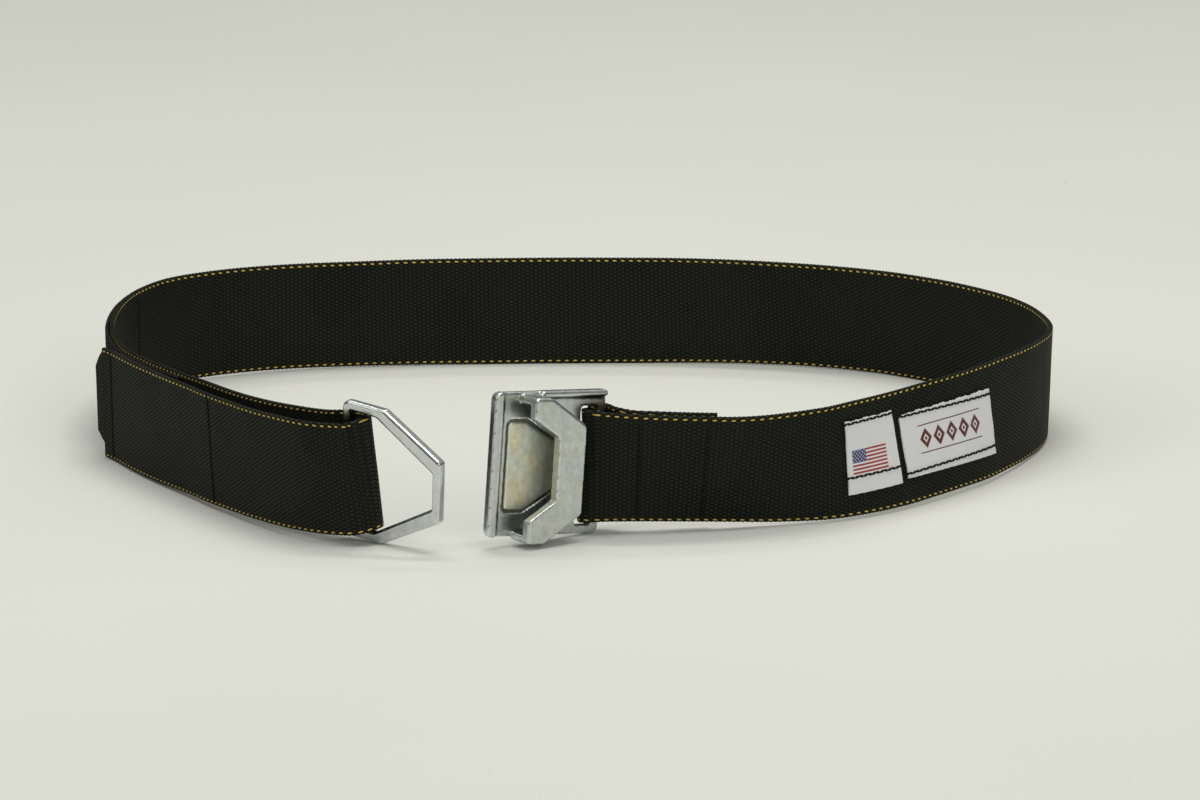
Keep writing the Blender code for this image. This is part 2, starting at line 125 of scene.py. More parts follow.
LEFT_BEND = (
    (-187.0, 157.5, 1.4, 0.5, -1.0),
    (-200.5, 132.0, 1.4, 0.5, 0.0),
    (-206.8, 105.0, 1.3, 0.5, 0.0),
    (-209.3, 78.0, 1.0, 0.0, 0.0),
    (-209.3, 50.0, 0.8, 0.0, 0.0),
    (-206.0, 22.0, 0.8, 0.0, 0.0),
    (-200.0, -4.0, 0.9, 0.0, 0.0),
    (-191.0, -27.0, 1.1, 0.0, 0.0),
    (-181.0, -49.0, 1.4, 0.0, 0.0),
)
INNER_LEFT = (
    (-171.3, -68.5, 1.8, 0.0, 0.0),
    (-162.0, -86.3, 2.3, -0.5, -0.8),
    (-153.5, -103.0, 2.7, -0.8, -1.0),
    (-143.5, -120.8, 3.1, -1.0, -1.5),
    (-131.8, -138.0, 3.7, -1.5, -2.0),
    (-119.0, -154.0, 4.5, -2.0, -2.0),
    (-107.0, -166.5, 5.3, -3.0, -1.0),
    (-98.0, -173.2, 6.4, -4.0, 0.0),
)
RING_FOLD = (
    (-92.8, -175.6, 6.6, -4.5, 0.0),
    (-89.2, -179.6, 6.7, -4.6, 0.0),
    (-88.2, -184.4, 6.7, -4.6, -0.5),
    (-90.1, -189.0, 6.6, -4.5, -1.0),
    (-94.2, -192.0, 5.7, -3.5, -1.8),
)
OUTER_LEFT = (
    (-101.0, -192.8, 4.8, -2.5, -2.5),
    (-115.8, -182.0, 4.0, -2.0, -3.5),
    (-129.5, -164.2, 3.2, -1.5, -3.0),
    (-141.0, -145.8, 2.6, -1.5, -2.8),
    (-151.5, -126.2, 2.1, -1.2, -2.2),
    (-161.4, -107.4, 1.8, -1.0, -2.0),
    (-169.7, -89.2, 1.5, -0.8, -1.6),
    (-178.4, -71.4, 1.2, -0.5, -1.0),
    (-188.0, -51.4, 0.9, 0.0, 0.0),
    (-197.7, -29.2, 0.6, 0.0, 0.0),
    (-206.6, -6.2, 0.4, 0.0, 0.0),
    (-210.6, 2.0, 0.3, 0.0, 0.0),
)
TAB = (
    (-213.0, 4.4, 0.3, -1.0, 0.0),
    (-216.9, 5.6, 0.3, -3.6, 0.0),
)
STRAP = DOUBLED_END + RIGHT_FRONT + RIGHT_BEND + BACK + LEFT_BEND + INNER_LEFT + RING_FOLD + OUTER_LEFT

# Where the pieces sewn to the strap lie, as x or y on its path, and the labels' lower and upper ends on it
LOOP_TAPE_Y = (132.0, -66.0)
HOOK_TAPE_Y = -60.0
LABEL_SMALL = (111.4, 133.6, 9.6, 41.6)
LABEL_LARGE = (136.4, 176.4, 10.0, 38.8)

# Seams across the webbing, as x on its front, doubled and outer left stretches and as y at the pile tape
FRONT_SEAMS_X = (25.0, 52.0)
DOUBLED_SEAMS_X = (51.0, 25.0)
OUTER_SEAMS_X = (-159.0, -206.5)
PILE_SEAM_Y = 128.5

# Rows of stitches on the labels, as heights on the webbing at a row's left and right ends
LABEL_SMALL_ROWS = ((40.2, 40.6), (16.9, 17.3))
LABEL_LARGE_ROWS = ((37.9, 36.2), (13.2, 13.6))
SEAM_THREAD_W = 0.6
LABEL_THREAD_W = 1.2

# Prints on the labels, in metres from a label's left end and lower edge
FLAG_LEFT, FLAG_RIGHT = 0.0030, 0.0232
FLAG_BOTTOM, FLAG_TOP = 0.0086, 0.0190
FLAG_CORNER_RIGHT, FLAG_CORNER_BOTTOM = 0.0108, 0.0134
STRIPE_PITCH = 0.0016
FRIEZE_LEFT, FRIEZE_RIGHT = 0.0110, 0.0560
FRIEZE_BOTTOM, FRIEZE_TOP = 0.0085, 0.0226
FRIEZE_MIDDLE = 0.0156
FRIEZE_LINES = (0.0092, 0.0215)
LINE_W = 0.0005
LOZENGE_PITCH = 0.0090
LOZENGE_TALL = 0.0104
TAB_LENGTH = 7.4


# Studio: camera, floor and lights

def make_camera():
    data = bpy.data.cameras.new("camera")
    data.lens = CAMERA_LENS
    data.sensor_width = 36.0
    data.clip_end = 50.0
    camera = bpy.data.objects.new("camera", data)
    bpy.context.scene.collection.objects.link(camera)
    turn = Matrix.Rotation(math.radians(CAMERA_PITCH), 4, "X")
    roll = Matrix.Rotation(math.radians(CAMERA_ROLL), 4, "Z")
    camera.matrix_world = Matrix.Translation(CAMERA_AT) @ turn @ roll
    bpy.context.scene.camera = camera


def area_light(name, at, target, size, power, colour):
    data = bpy.data.lights.new(name, "AREA")
    data.shape = "RECTANGLE"
    data.size, data.size_y = size
    data.energy = power
    data.color = colour
    light = bpy.data.objects.new(name, data)
    bpy.context.scene.collection.objects.link(light)
    light.location = at
    light.rotation_euler = (Vector(target) - Vector(at)).to_track_quat("-Z", "Y").to_euler()


def make_lights():
    for name, y, power in (("front_strip", -0.5, 13.5), ("middle_strip", 0.5, 12.5), ("rear_strip", 1.5, 6.8)):
        area_light(name, (0.1, y, 2.3), (0.0, 0.0, 0.0), (1.6, 0.22), power, (1.0, 0.99, 0.95))
    area_light("left_softbox", (-2.3, -1.3, 1.6), (0.0, 0.0, 0.02), (1.2, 1.2), 6.5, (1.0, 0.99, 0.96))
    area_light("front_fill", (1.2, -3.0, 1.5), (0.0, -0.2, 0.02), (1.6, 1.0), 19.5, (1.0, 0.99, 0.96))
    world = bpy.data.worlds.new("soft_room")
    bpy.context.scene.world = world
    world.use_nodes = True
    tree = world.node_tree
    split = node(tree, "ShaderNodeSeparateXYZ")
    tree.links.new(node(tree, "ShaderNodeTexCoord").outputs["Generated"], split.inputs[0])
    height = map_range(tree, split.outputs[2], 0.12, 0.75)
    room = mix_colour(tree, height, (0.10, 0.105, 0.11), (0.95, 0.96, 0.92))
    tree.links.new(room, tree.nodes["Background"].inputs["Color"])
    tree.nodes["Background"].inputs["Strength"].default_value = 0.43
    bpy.context.scene.view_settings.view_transform = "Standard"


# Node helpers

def node(tree, kind, **settings):
    made = tree.nodes.new(kind)
    for key, value in settings.items():
        setattr(made, key, value)
    return made


def math_node(tree, operation, first, second=None, third=None, clamp=False):
    made = node(tree, "ShaderNodeMath", operation=operation, use_clamp=clamp)
    for socket, value in zip(made.inputs, (first, second, third)):
        if value is None:
            continue
        if isinstance(value, (int, float)):
            socket.default_value = value
        else:
            tree.links.new(value, socket)
    return made.outputs[0]


def mix_colour(tree, share, first, second, blend="MIX"):
    made = node(tree, "ShaderNodeMix", data_type="RGBA", blend_type=blend)
    for socket, value in zip((made.inputs[0], made.inputs[6], made.inputs[7]), (share, first, second)):
        if isinstance(value, (int, float)):
            socket.default_value = value
        elif isinstance(value, tuple):
            socket.default_value = (*value, 1.0)
        else:
            tree.links.new(value, socket)
    return made.outputs[2]


def map_range(tree, value, low, high, to_low=0.0, to_high=1.0):
    made = node(tree, "ShaderNodeMapRange", clamp=True)
    tree.links.new(value, made.inputs["Value"])
    for key, number in (("From Min", low), ("From Max", high), ("To Min", to_low), ("To Max", to_high)):
        made.inputs[key].default_value = number
    return made.outputs[0]


def noise(tree, vector, scale, detail=3.0, roughness=0.5):
    made = node(tree, "ShaderNodeTexNoise")
    made.inputs["Scale"].default_value = scale
    made.inputs["Detail"].default_value = detail
    made.inputs["Roughness"].default_value = roughness
    tree.links.new(vector, made.inputs["Vector"])
    return made.outputs["Fac"]


def new_group(name, inputs, outputs):
    group = bpy.data.node_groups.new(name, "ShaderNodeTree")
    for label, kind, value in inputs:
        socket = group.interface.new_socket(name=label, in_out="INPUT", socket_type=kind)
        if value is not None:
            socket.default_value = value
    for label, kind in outputs:
        group.interface.new_socket(name=label, in_out="OUTPUT", socket_type=kind)
    start = group.nodes.new("NodeGroupInput")
    end = group.nodes.new("NodeGroupOutput")
    return group, start.outputs, end.inputs


def place_group(tree, group, **values):
    made = node(tree, "ShaderNodeGroup", node_tree=group)
    for key, value in values.items():
        socket = made.inputs[key.replace("_", " ")]
        if isinstance(value, (int, float)):
            socket.default_value = value
        elif isinstance(value, tuple):
            socket.default_value = (*value, 1.0)
        else:
            tree.links.new(value, socket)
    return made.outputs


def start_material(name, **values):
    material = bpy.data.materials.new(name)
    material.use_nodes = True
    tree = material.node_tree
    shader = tree.nodes["Principled BSDF"]
    for key, value in values.items():
        shader.inputs[key.replace("_", " ")].default_value = value
    return material, tree, shader


def bump_into(tree, shader, height, distance, strength=1.0):
    made = node(tree, "ShaderNodeBump")
    made.inputs["Strength"].default_value = strength
    made.inputs["Distance"].default_value = distance
    tree.links.new(height, made.inputs["Height"])
    tree.links.new(made.outputs["Normal"], shader.inputs["Normal"])


# Shared effects

def weave_group():
    """Lengthwise yarns that float over the face in staggered ovals, with a small spot on each float's crest
    for a painted highlight.
    """
    group, put, out = new_group(
        "webbing_weave",
        (("Along", "NodeSocketFloat", 0.0), ("Across", "NodeSocketFloat", 0.0),
         ("Pitch", "NodeSocketFloat", DASH_PITCH * MM), ("Yarn", "NodeSocketFloat", YARN_W * MM),
         ("Float", "NodeSocketFloat", 0.27)),
        (("Height", "NodeSocketFloat"), ("Top", "NodeSocketFloat"), ("Row", "NodeSocketFloat"),
         ("Crest_Highlight", "NodeSocketFloat")),
    )
    rows = math_node(group, "DIVIDE", put["Across"], put["Yarn"])
    row = math_node(group, "FLOOR", rows)
    y = math_node(group, "SUBTRACT", math_node(group, "FRACT", rows), 0.5)
    stagger = math_node(group, "MULTIPLY", math_node(group, "MODULO", row, 2.0), 0.5)
    along = math_node(group, "ADD", math_node(group, "DIVIDE", put["Along"], put["Pitch"]), stagger)
    x = math_node(group, "SUBTRACT", math_node(group, "FRACT", along), 0.5)
    x_share = math_node(group, "ABSOLUTE", math_node(group, "DIVIDE", x, put["Float"]))
    x_part = math_node(group, "POWER", x_share, 2.4)
    y_part = math_node(group, "POWER", math_node(group, "DIVIDE", y, 0.5), 2.0)
    inside = math_node(group, "SUBTRACT", 1.0, math_node(group, "ADD", x_part, y_part))
    top = math_node(group, "SQRT", math_node(group, "MAXIMUM", inside, 0.0))
    # Painted highlight: a small spot on the crest of each float.
    highlight_x = math_node(group, "POWER", math_node(group, "DIVIDE", x, 0.19), 2.0)
    highlight_y = math_node(group, "POWER", math_node(group, "DIVIDE", y, 0.5), 2.0)
    crest_highlight = math_node(group, "SUBTRACT", 1.0, math_node(group, "ADD", highlight_x, highlight_y))
    group.links.new(math_node(group, "MAXIMUM", crest_highlight, 0.0), out["Crest_Highlight"])
    weft = math_node(group, "SINE", math_node(group, "MULTIPLY", along, 8.0 * math.pi))
    height = math_node(group, "ADD", top, math_node(group, "MULTIPLY", weft, 0.06))
    group.links.new(height, out["Height"])
    group.links.new(top, out["Top"])
    group.links.new(row, out["Row"])
    return group


def lint_group():
    """Faint pale dust and worn patches, from the object's own coordinates."""
    group, put, out = new_group(
        "lint_and_dust",
        (("Vector", "NodeSocketVector", None), ("Amount", "NodeSocketFloat", 0.5)),
        (("Dust", "NodeSocketFloat"), ("Patches", "NodeSocketFloat")),
    )
    fine = noise(group, put["Vector"], 900.0, 2.0, 0.6)
    broad = noise(group, put["Vector"], 22.0, 4.0, 0.6)
    specks = map_range(group, fine, 0.66, 0.78)
    patches = map_range(group, broad, 0.35, 0.75)
    group.links.new(math_node(group, "MULTIPLY", specks, put["Amount"]), out["Dust"])
    group.links.new(math_node(group, "MULTIPLY", patches, put["Amount"]), out["Patches"])
    return group


def plating_group():
    """Cloudy zinc plating: broad tint, fine mottle, small casting pits, lighter and smoother outward edges and
    painted shade in the hollows.
    """
    group, put, out = new_group(
        "zinc_plating",
        (("Vector", "NodeSocketVector", None), ("Cool", "NodeSocketColor", (0.60, 0.63, 0.64, 1.0)),
         ("Warm", "NodeSocketColor", (0.62, 0.60, 0.50, 1.0)), ("Tint", "NodeSocketFloat", 0.4),
         ("Edge", "NodeSocketFloat", 0.0)),
        (("Color", "NodeSocketColor"), ("Roughness", "NodeSocketFloat"), ("Height", "NodeSocketFloat")),
    )
    broad = noise(group, put["Vector"], 70.0, 4.0, 0.62)
    middle = noise(group, put["Vector"], 320.0, 5.0, 0.65)
    fine = noise(group, put["Vector"], 1900.0, 3.0, 0.6)
    drawn = node(group, "ShaderNodeVectorMath", operation="MULTIPLY")
    drawn.inputs[1].default_value = (1.0, 1.0, 0.10)
    group.links.new(put["Vector"], drawn.inputs[0])
    streak = noise(group, drawn.outputs[0], 900.0, 3.0, 0.6)
    tint = math_node(group, "MULTIPLY", map_range(group, broad, 0.38, 0.66), put["Tint"])
    colour = mix_colour(group, tint, put["Cool"], put["Warm"])
    mottle = math_node(group, "MULTIPLY", map_range(group, middle, 0.3, 0.7, 0.78, 1.08),
                       map_range(group, streak, 0.3, 0.7, 0.94, 1.03))
    grey = node(group, "ShaderNodeCombineColor")
    for channel in grey.inputs:
        group.links.new(mottle, channel)
    colour = mix_colour(group, 1.0, colour, grey.outputs[0], "MULTIPLY")
    edge = map_range(group, put["Edge"], 0.05, 0.55)
    colour = mix_colour(group, math_node(group, "MULTIPLY", edge, 0.6), colour, (0.80, 0.81, 0.82))
    # Painted shade: where the surface bends in, the colour is painted towards near-black.
    hollow_shade = map_range(group, put["Edge"], -0.04, -0.5)
    colour = mix_colour(group, math_node(group, "MULTIPLY", hollow_shade, 0.75), colour, (0.13, 0.125, 0.11))
    rough = math_node(group, "ADD", map_range(group, middle, 0.3, 0.7, 0.24, 0.40),
                      math_node(group, "MULTIPLY", edge, -0.10))
    pits = map_range(group, fine, 0.30, 0.44, -1.0, 0.0)
    height = math_node(group, "ADD", math_node(group, "MULTIPLY", pits, 0.5), middle)
    group.links.new(colour, out["Color"])
    group.links.new(rough, out["Roughness"])
    group.links.new(height, out["Height"])
    return group


def box_mask_group():
    """One inside a rectangle of the piece's own map and nought outside it, in metres."""
    group, put, out = new_group(
        "printed_box",
        (("Along", "NodeSocketFloat", 0.0), ("Across", "NodeSocketFloat", 0.0),
         ("Left", "NodeSocketFloat", 0.0), ("Right", "NodeSocketFloat", 0.01),
         ("Bottom", "NodeSocketFloat", 0.0), ("Top", "NodeSocketFloat", 0.01)),
        (("Mask", "NodeSocketFloat"),),
    )
    parts = [
        math_node(group, "GREATER_THAN", put["Along"], put["Left"]),
        math_node(group, "LESS_THAN", put["Along"], put["Right"]),
        math_node(group, "GREATER_THAN", put["Across"], put["Bottom"]),
        math_node(group, "LESS_THAN", put["Across"], put["Top"]),
    ]
    mask = parts[0]
    for part in parts[1:]:
        mask = math_node(group, "MULTIPLY", mask, part)
    group.links.new(mask, out["Mask"])
    return group


WEAVE = weave_group()
LINT = lint_group()
PLATING = plating_group()
BOX_MASK = box_mask_group()


def own_map(tree):
    """Along and across, from the piece's own UV map, in metres."""
    uv = node(tree, "ShaderNodeUVMap", uv_map="cloth")
    split = node(tree, "ShaderNodeSeparateXYZ")
    tree.links.new(uv.outputs["UV"], split.inputs[0])
    return split.outputs[0], split.outputs[1]


def printed_box(tree, along, across, left, right, bottom, top):
    """One inside a rectangle of the piece's own map and nought outside it."""
    return place_group(tree, BOX_MASK, Along=along, Across=across, Left=left, Right=right, Bottom=bottom,
                       Top=top)["Mask"]


def object_vector(tree):
    return node(tree, "ShaderNodeTexCoord").outputs["Object"]


def webbing_material(tight_seams):
    """Black yarns with a painted highlight on each float's crest, a yellow tracer row near each edge painted
    darker where its floats dip as painted shade, and a painted shade line along the dent at each tight seam.
    """
    material, tree, shader = start_material("webbing", Specular_IOR_Level=0.16)
    along, across = own_map(tree)
    weave = place_group(tree, WEAVE, Along=along, Across=across)
    lint = place_group(tree, LINT, Vector=object_vector(tree), Amount=1.0)
    # Painted highlight: each black float is painted lighter on its crest.
    black = mix_colour(tree, weave["Crest_Highlight"], (0.0062, 0.0076, 0.0045), (0.0265, 0.0305, 0.0200))
    black = mix_colour(tree, math_node(tree, "MULTIPLY", lint["Patches"], 0.35), black, (0.021, 0.023, 0.015))
    black = mix_colour(tree, math_node(tree, "MULTIPLY", lint["Dust"], 0.25), black, (0.09, 0.085, 0.07))
    # Painted shade: a near-black line along the dent at each tight seam.
    for seam in tight_seams:
        away = math_node(tree, "ABSOLUTE", math_node(tree, "SUBTRACT", along, seam))
        line = map_range(tree, away, 0.0008, 0.0013, 0.92, 0.0)
        black = mix_colour(tree, line, black, (0.001, 0.001, 0.001))
    last_row = round(WEB_W / YARN_W) - 2
    lower = math_node(tree, "COMPARE", weave["Row"], 1.0, 0.1)
    upper = math_node(tree, "COMPARE", weave["Row"], float(last_row), 0.1)
    tracer = math_node(tree, "MULTIPLY", math_node(tree, "ADD", lower, upper),
                       map_range(tree, weave["Top"], 0.12, 0.4))
    # Painted shade: the yellow is darker low on each float, where it dips between the crosswise yarns.
    yellow = mix_colour(tree, weave["Top"], (0.26, 0.17, 0.012), (0.72, 0.53, 0.10))
    tree.links.new(mix_colour(tree, tracer, black, yellow), shader.inputs["Base Color"])
    rough = map_range(tree, weave["Top"], 0.0, 1.0, 0.85, 0.52)
    tree.links.new(rough, shader.inputs["Roughness"])
    bump_into(tree, shader, weave["Height"], 0.00032)
    return material


def loop_material():
    """Black pile with curls, clumps and a little lint."""
    material, tree, shader = start_material(
        "loop_fuzz", Roughness=0.95, Specular_IOR_Level=0.08, Sheen_Weight=0.04, Sheen_Roughness=0.6
    )
    vector = object_vector(tree)
    curl = noise(tree, vector, 1500.0, 4.0, 0.7)
    clump = noise(tree, vector, 260.0, 3.0, 0.6)
    lint = place_group(tree, LINT, Vector=vector, Amount=1.0)
    colour = mix_colour(tree, map_range(tree, curl, 0.35, 0.7), (0.004, 0.0045, 0.003), (0.018, 0.020, 0.014))
    colour = mix_colour(tree, math_node(tree, "MULTIPLY", lint["Dust"], 0.5), colour, (0.14, 0.13, 0.11))
    tree.links.new(colour, shader.inputs["Base Color"])
    bump_into(tree, shader, math_node(tree, "ADD", curl, clump), 0.0007)
    return material


def hook_tape_material():
    """Matte tape with a fine weave, painted darker where its floats dip as painted shade."""
    material, tree, shader = start_material("hook_tape", Roughness=0.9, Specular_IOR_Level=0.12)
    along, across = own_map(tree)
    weave = place_group(tree, WEAVE, Along=along, Across=across, Pitch=0.0016, Yarn=0.0011, Float=0.42)
    lint = place_group(tree, LINT, Vector=object_vector(tree), Amount=1.0)
    # Painted shade: each float is painted darker low down and lighter on top.
    colour = mix_colour(tree, weave["Top"], (0.026, 0.028, 0.020), (0.062, 0.066, 0.049))
    colour = mix_colour(tree, math_node(tree, "MULTIPLY", lint["Dust"], 0.35), colour, (0.10, 0.095, 0.08))
    tree.links.new(colour, shader.inputs["Base Color"])
    bump_into(tree, shader, weave["Height"], 0.00028)
    return material


def thread_material(name, colour, rough):
    material, tree, shader = start_material(name, Specular_IOR_Level=0.12)
    ply = noise(tree, object_vector(tree), 2600.0, 2.0, 0.5)
    darker = tuple(0.45 * channel for channel in colour)
    shade = map_range(tree, ply, 0.35, 0.65)
    tree.links.new(mix_colour(tree, shade, darker, colour), shader.inputs["Base Color"])
    tree.links.new(map_range(tree, ply, 0.3, 0.7, rough - 0.1, rough + 0.1), shader.inputs["Roughness"])
    bump_into(tree, shader, ply, 0.0001)
    return material


def metal_material(name, cool, warm, tint, depth, low, high):
    """Zinc plating between two tints, with a relief's depth and a lowest and highest roughness."""
    material, tree, shader = start_material(name, Metallic=1.0)
    edge = node(tree, "ShaderNodeAttribute", attribute_name="edge")
    plating = place_group(tree, PLATING, Vector=object_vector(tree), Cool=cool, Warm=warm, Tint=tint,
                          Edge=edge.outputs["Fac"])
    tree.links.new(plating["Color"], shader.inputs["Base Color"])
    tree.links.new(map_range(tree, plating["Roughness"], 0.14, 0.40, low, high), shader.inputs["Roughness"])
    bump_into(tree, shader, plating["Height"], depth)
    return material


def satin_base(tree, along, across):
    weave = place_group(tree, WEAVE, Along=across, Across=along, Pitch=0.0009, Yarn=0.00042, Float=0.44)
    # Painted shade: the white satin is painted darker where each float dips.
    white = mix_colour(tree, weave["Top"], (0.76, 0.76, 0.79), (0.95, 0.95, 0.97))
    return weave, white


def small_label_material():
    """White satin with a striped block that has a dotted corner field."""
    material, tree, shader = start_material("label_small", Roughness=0.45, Sheen_Weight=0.04)
    along, across = own_map(tree)
    weave, colour = satin_base(tree, along, across)
    block = printed_box(tree, along, across, FLAG_LEFT, FLAG_RIGHT, FLAG_BOTTOM, FLAG_TOP)
    above = math_node(tree, "SUBTRACT", across, FLAG_BOTTOM)
    stripe = math_node(tree, "FRACT", math_node(tree, "DIVIDE", above, STRIPE_PITCH))
    red = math_node(tree, "MULTIPLY", block, math_node(tree, "LESS_THAN", stripe, 0.5))
    colour = mix_colour(tree, red, colour, (0.42, 0.012, 0.014))
    corner = printed_box(tree, along, across, FLAG_LEFT, FLAG_CORNER_RIGHT, FLAG_CORNER_BOTTOM, FLAG_TOP)
    dots = place_group(tree, WEAVE, Along=along, Across=across, Pitch=0.0018, Yarn=0.0009, Float=0.22)["Top"]
    blue = mix_colour(tree, map_range(tree, dots, 0.3, 0.8), (0.030, 0.035, 0.17), (0.60, 0.60, 0.68))
    colour = mix_colour(tree, corner, colour, blue)
    tree.links.new(colour, shader.inputs["Base Color"])
    bump_into(tree, shader, weave["Height"], 0.00006)
    return material


def large_label_material():
    """White satin with a row of maroon lozenges between two thin lines."""
    material, tree, shader = start_material("label_large", Roughness=0.45, Sheen_Weight=0.04)
    along, across = own_map(tree)
    weave, colour = satin_base(tree, along, across)
    field = printed_box(tree, along, across, FRIEZE_LEFT, FRIEZE_RIGHT, FRIEZE_BOTTOM, FRIEZE_TOP)
    beyond = math_node(tree, "SUBTRACT", along, FRIEZE_LEFT)
    x = math_node(tree, "FRACT", math_node(tree, "DIVIDE", beyond, LOZENGE_PITCH))
    x = math_node(tree, "ABSOLUTE", math_node(tree, "SUBTRACT", x, 0.5))
    above = math_node(tree, "SUBTRACT", across, FRIEZE_MIDDLE)
    y = math_node(tree, "ABSOLUTE", math_node(tree, "DIVIDE", above, LOZENGE_TALL))
    reach = math_node(tree, "ADD", x, y)
    lozenge = math_node(tree, "MULTIPLY", math_node(tree, "LESS_THAN", reach, 0.44),
                        math_node(tree, "GREATER_THAN", reach, 0.20))
    heart = math_node(tree, "LESS_THAN", reach, 0.10)
    ink = math_node(tree, "MULTIPLY", field, math_node(tree, "ADD", lozenge, heart))
    for low in FRIEZE_LINES:
        line = printed_box(tree, along, across, FRIEZE_LEFT, FRIEZE_RIGHT, low, low + LINE_W)
        ink = math_node(tree, "MAXIMUM", ink, line)
    colour = mix_colour(tree, ink, colour, (0.125, 0.010, 0.008))
    tree.links.new(colour, shader.inputs["Base Color"])
    bump_into(tree, shader, weave["Height"], 0.00006)
    return material


def floor_material():
    """Pale cloth with broad, faint clouds of painted shade for its soft creases, and a few specks."""
    material, tree, shader = start_material("pale_cloth", Roughness=0.93, Specular_IOR_Level=0.15)
    vector = object_vector(tree)
    broad = noise(tree, vector, 3.0, 3.0, 0.5)
    fine = noise(tree, vector, 420.0, 3.0, 0.6)
    # Painted shade: broad, faint darker clouds for the soft shading of the cloth's creases.
    colour = mix_colour(tree, map_range(tree, broad, 0.3, 0.7), (0.795, 0.798, 0.745), (0.822, 0.826, 0.772))
    speck = map_range(tree, noise(tree, vector, 160.0, 1.0, 0.5), 0.80, 0.84)
    colour = mix_colour(tree, math_node(tree, "MULTIPLY", speck, 0.35), colour, (0.35, 0.31, 0.24))
    tree.links.new(colour, shader.inputs["Base Color"])
    bump_into(tree, shader, fine, 0.0002, 0.5)
    return material


# The strap's path

def between(rows, position):
    """A row of the table read at a whole or broken index, on a curve through all its rows."""
    last = len(rows) - 1
    k = min(int(position), last - 1)
    t = position - k
    a, b, c, d = (rows[min(max(k + i, 0), last)] for i in (-1, 0, 1, 2))
    found = []
    for p0, p1, p2, p3 in zip(a, b, c, d):
        m1, m2 = (p2 - p0) / 2, (p3 - p1) / 2
        h = (2 * t**3 - 3 * t**2 + 1) * p1 + (t**3 - 2 * t**2 + t) * m1
        found.append(h + (3 * t**2 - 2 * t**3) * p2 + (t**3 - t**2) * m2)
    return found


def cloth_frame(rows, index):
    """Foot on the lower edge, direction, upward and sideways vectors of the webbing at an index."""
    x, y, lift, lean_x, lean_y = between(rows, index)
    before = between(rows, max(index - 0.02, 0.0))
    after = between(rows, min(index + 0.02, len(rows) - 1))
    along = Vector((after[0] - before[0], after[1] - before[1], after[2] - before[2])).normalized()
    lean = Vector((lean_x, lean_y, 0.0))
    up = lean + Vector((0.0, 0.0, math.sqrt(WEB_W**2 - lean.length_squared)))
    up = (up - along * up.dot(along)).normalized()
    side = up.cross(along).normalized()
    foot = Vector((x, y, lift)) - Vector((lean_x, lean_y, 0.0)) / 2 + Vector(TABLES_AT)
    return foot, along, up, side


def even_indices(rows, first, last, step):
    """Indices from first to last, an even step apart along the path, and the distance run at each."""
    count = int((last - first) * 60)
    fine = [first + (last - first) * i / count for i in range(count + 1)]
    points = np.array([between(rows, i)[:2] for i in fine])
    run = np.concatenate([[0.0], np.cumsum(np.linalg.norm(np.diff(points, axis=0), axis=1))])
    stations = max(2, round(run[-1] / step) + 1)
    wanted = np.linspace(0.0, run[-1], stations)
    return np.interp(wanted, run, fine), wanted


def index_where(rows, first, last, column, value):
    """Index between two rows where a column of the table first passes a value."""
    steps = 600
    before = between(rows, first)[column] - value
    for i in range(1, steps + 1):
        index = first + (last - first) * i / steps
        now = between(rows, index)[column] - value
        if before * now <= 0:
            return index
        before = now
    return last


FRONT_FIRST = len(DOUBLED_END)
BEND_FIRST = FRONT_FIRST + len(RIGHT_FRONT)
LEFT_FIRST = BEND_FIRST + len(RIGHT_BEND) + len(BACK)
OUTER_FIRST = LEFT_FIRST + len(LEFT_BEND) + len(INNER_LEFT) + len(RING_FOLD)
PATH_END = len(STRAP) - 1


# Cloth pieces

def cloth_profile(low, high, half, levels, edge):
    """Points round a band's section, as (across, off the middle, side of the cloth)."""
    arc = [(edge - edge * math.cos(a), half * math.sin(a)) for a in (math.radians(t) for t in (20, 50, 75))]
    right = [(low + a, b, 1) for a, b in arc] + [(v, half, 1) for v in levels]
    right += [(high - a, b, 1) for a, b in reversed(arc)]
    left = [(high - a, -b, 0) for a, b in arc] + [(v, -half, 0) for v in reversed(levels)]
    left += [(low + a, -b, 0) for a, b in reversed(arc)]
    return right + left


